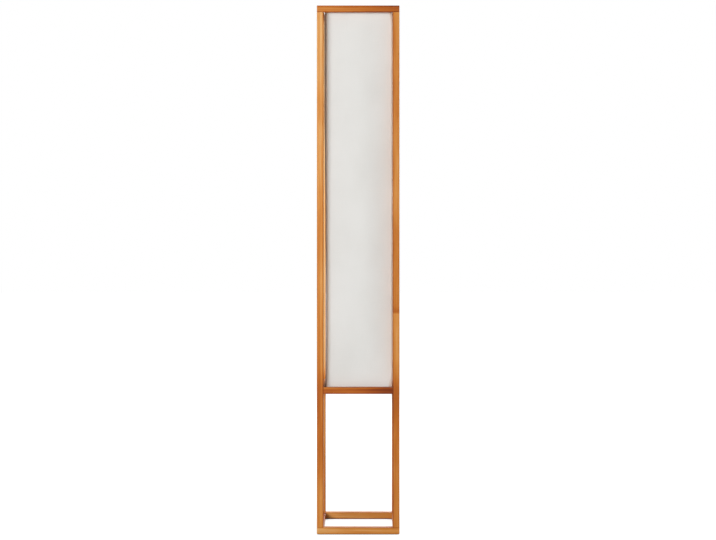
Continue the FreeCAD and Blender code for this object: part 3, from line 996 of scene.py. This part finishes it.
def make_bulb_cap(material):
    """The bulb's cap of rolled sheet, with its round thread."""
    low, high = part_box("bulb_cap")
    outer = high.x
    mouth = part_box("bulb_insulator")[1].x
    shoulder = low.z + cap_taper
    rim = high.z - cap_rim_plain
    rows = heights(shoulder, rim, cap_pitch / rolled_rows) + [high.z]
    section = [(mouth, low.z)] + [(outer, height) for height in rows]
    section += [(outer - cap_wall, height) for height in reversed(rows[1:])]
    section += [(outer - cap_wall, shoulder + cap_wall)]
    section += [(mouth - cap_wall, low.z + cap_wall), (mouth - cap_wall, low.z)]
    bm = bmesh.new()
    cut = rolled_thread(shoulder + cap_shoulder_plain, rim, cap_pitch, cap_thread_depth)
    turn(bm, section, cap_sides, cut, closed=True)
    new_piece("threaded_bulb_cap", bm, "bulb", material, "bulb_cap")


def make_screw_shell(material):
    """The holder's brass shell, whose round thread swells outward round the bulb's."""
    low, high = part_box("screw_shell")
    outer = high.x
    inner = outer - shell_wall
    first, last = low.z + shell_plain, high.z - shell_plain
    rows = [low.z] + heights(first, last, cap_pitch / rolled_rows) + [high.z]
    section = [(shell_well, low.z)] + [(outer, height) for height in rows]
    section += [(inner, height) for height in reversed(rows[1:])]
    section += [(inner, low.z + shell_wall), (shell_well, low.z + shell_wall)]
    bm = bmesh.new()
    turn(bm, section, cap_sides, rolled_thread(first, last, cap_pitch, -cap_thread_depth), closed=True)
    new_piece("threaded_screw_shell", bm, "frame", material, "screw_shell")


# The scene


def dress(name, material):
    for slot in nodes[name].material_slots:
        slot.material = material


def dress_battens():
    """Gives each batten a piece of wood of its own."""
    wood_group()
    for name in nodes:
        if name.endswith("_post"):
            dress(name, batten_material(name, 2))
        elif name.endswith(("_front_rail", "_back_rail")):
            dress(name, batten_material(name, 0))
        elif name.endswith(("_rail", "_cleat")):
            dress(name, batten_material(name, 1))


def dress_fittings():
    """Finishes the rest of the CAD nodes, and makes the pieces that stand for some of them."""
    zinc = metal("zinc_plate", (0.66, 0.66, 0.64), roughness=0.28, grain=0.6 * MM)
    brass = metal("pressed_brass", (0.78, 0.56, 0.24), roughness=0.25, grain=0.8 * MM)
    rolled = metal("rolled_aluminium", (0.80, 0.80, 0.79), roughness=0.22, grain=0.5 * MM)
    enamel = moulded("white_enamel", (0.84, 0.84, 0.82), 0.30, grain=1.2 * MM, depth=0.03 * MM, coat=0.3)
    holder = moulded("white_moulding", (0.82, 0.82, 0.79), 0.35, grain=0.5 * MM, depth=0.02 * MM)
    porcelain = moulded("porcelain", (0.78, 0.76, 0.70), 0.60, grain=0.4 * MM, depth=0.05 * MM)
    black = moulded("black_glass", (0.02, 0.02, 0.022), 0.12, grain=1.0 * MM, depth=0.01 * MM, coat=0.3)
    for material, names in (
        (plain_wood(), ("top_rail_dowels", "middle_rail_dowels", "side_rail_dowels")),
        (zinc, ("pipe_nuts", "pipe_washers")),
        (brass, ("centre_contact",)),
        (rolled, ("bulb_contact",)),
        (enamel, ("shade_top_ring", "shade_bottom_ring")),
        (holder, ("lampholder_cap", "lampholder_sleeve", "cord_inlet_bush")),
        (porcelain, ("contact_insert",)),
        (black, ("bulb_insulator",)),
        (opal_glass(), ("bulb_globe",)),
        (felt(), ("floor_pads",)),
        (plywood(), ("base_board",)),
    ):
        for name in names:
            dress(name, material)
    make_upright_screws("rail_wood_screws", "bottom_rail_screws", rail_screw, rail_head, zinc)
    make_upright_screws("board_wood_screws", "board_screws", small_screw, small_head, zinc)
    make_cleat_screws(zinc)
    make_lamp_pipe(enamel)
    make_bulb_cap(rolled)
    make_screw_shell(brass)
    make_shade_sheet(shade_cloth())


def aim(thing, target):
    thing.rotation_euler = (Vector(target) - thing.location).to_track_quat("-Z", "Y").to_euler()


def area_light(name, azimuth, distance, height, size, level):
    """A soft box aimed at the lamp. Azimuth 0 is the front and minus is left, in degrees."""
    data = bpy.data.lights.new(name, "AREA")
    data.shape = "RECTANGLE"
    data.size, data.size_y = size
    lamp = bpy.data.objects.new(name, data)
    angle = math.radians(azimuth)
    lamp.location = (distance * math.sin(angle), -distance * math.cos(angle), height)
    aim(lamp, lamp_middle)
    span = (Vector(lamp_middle) - lamp.location).length
    data.energy = level * (math.pi * span) ** 2
    lamp.visible_camera = False
    bpy.context.scene.collection.objects.link(lamp)


def make_lights():
    area_light("key_light", azimuth=-32, distance=4.0, height=1.60, size=(2.5, 1.6), level=0.99)
    area_light("right_fill", azimuth=100, distance=3.0, height=1.40, size=(1.4, 1.6), level=0.50)
    area_light("back_fill", azimuth=165, distance=3.0, height=1.60, size=(1.4, 1.6), level=0.60)
    area_light("top_fill", azimuth=180, distance=0.6, height=4.00, size=(1.6, 1.6), level=0.45)


def seen_rays(tree):
    """1 where the camera, a reflection or a glass looks, so that all of them see the pale background."""
    path = add(tree, "LightPath").outputs
    seen = calc(tree, "MAXIMUM", path["Is Camera Ray"], path["Is Glossy Ray"])
    return calc(tree, "MAXIMUM", seen, path["Is Transmission Ray"])


def make_world():
    """A white background that lights the lamp only faintly."""
    world = bpy.data.worlds.new("studio")
    bpy.context.scene.world = world
    world.use_nodes = True
    tree = world.node_tree
    strength = calc(tree, "MULTIPLY_ADD", seen_rays(tree), 1.0 - ambient_level, ambient_level)
    set_inputs(tree, tree.nodes["Background"], {"Color": (1, 1, 1, 1), "Strength": strength})


def floor_material():
    """Looks white from a distance on, and keeps a faint shadow near the lamp. Right under the lamp its
    glow is darkened by a painted contact shadow.
    """
    material = bpy.data.materials.new("pale_floor")
    material.use_nodes = True
    tree = material.node_tree
    tree.nodes.remove(tree.nodes["Principled BSDF"])
    away = vector(tree, "LENGTH", vector(tree, "MULTIPLY", place_of(tree), (1, 1, 0)))
    (near, near_level), (far, far_level) = floor_near, floor_far
    # Painted contact shadow: the glow darkens where ambient occlusion finds the floor closed in
    open_share = add(tree, "AmbientOcclusion", {"Distance": contact_reach}, samples=8).outputs["AO"]
    spread = step(tree, away, near, far, near_level, far_level)
    painted_contact_shadow = step(tree, open_share, contact_dark, contact_clear)
    level = calc(tree, "MULTIPLY", spread, painted_contact_shadow)
    glow = add(tree, "Emission", {"Color": (1, 1, 1, 1), "Strength": level})
    shadowed = add(tree, "BsdfDiffuse", {"Color": floor_shadow})
    bounce = add(tree, "BsdfDiffuse", {"Color": floor_bounce})
    shown = add(tree, "AddShader", {0: glow.outputs[0], 1: shadowed.outputs[0]})
    both = add(tree, "MixShader", {0: seen_rays(tree), 1: bounce.outputs[0], 2: shown.outputs[0]})
    fill(tree, tree.nodes["Material Output"].inputs["Surface"], both.outputs[0])
    return material


def make_floor():
    bm = bmesh.new()
    bmesh.ops.create_grid(bm, x_segments=1, y_segments=1, size=floor_reach)
    mesh = bpy.data.meshes.new("floor")
    bm.to_mesh(mesh)
    bm.free()
    mesh.materials.append(floor_material())
    floor = bpy.data.objects.new("floor", mesh)
    bpy.context.scene.collection.objects.link(floor)


def make_camera():
    data = bpy.data.cameras.new("photo_camera")
    data.lens = camera_lens
    data.shift_x = camera_shift_x
    data.shift_y = camera_shift_y
    camera = bpy.data.objects.new("photo_camera", data)
    camera.location = camera_place
    camera.rotation_euler = (math.radians(90), 0, 0)
    bpy.context.scene.collection.objects.link(camera)
    bpy.context.scene.camera = camera


dress_battens()
dress_fittings()
make_world()
make_floor()
make_lights()
make_camera()
bpy.context.scene.view_settings.view_transform = "Standard"
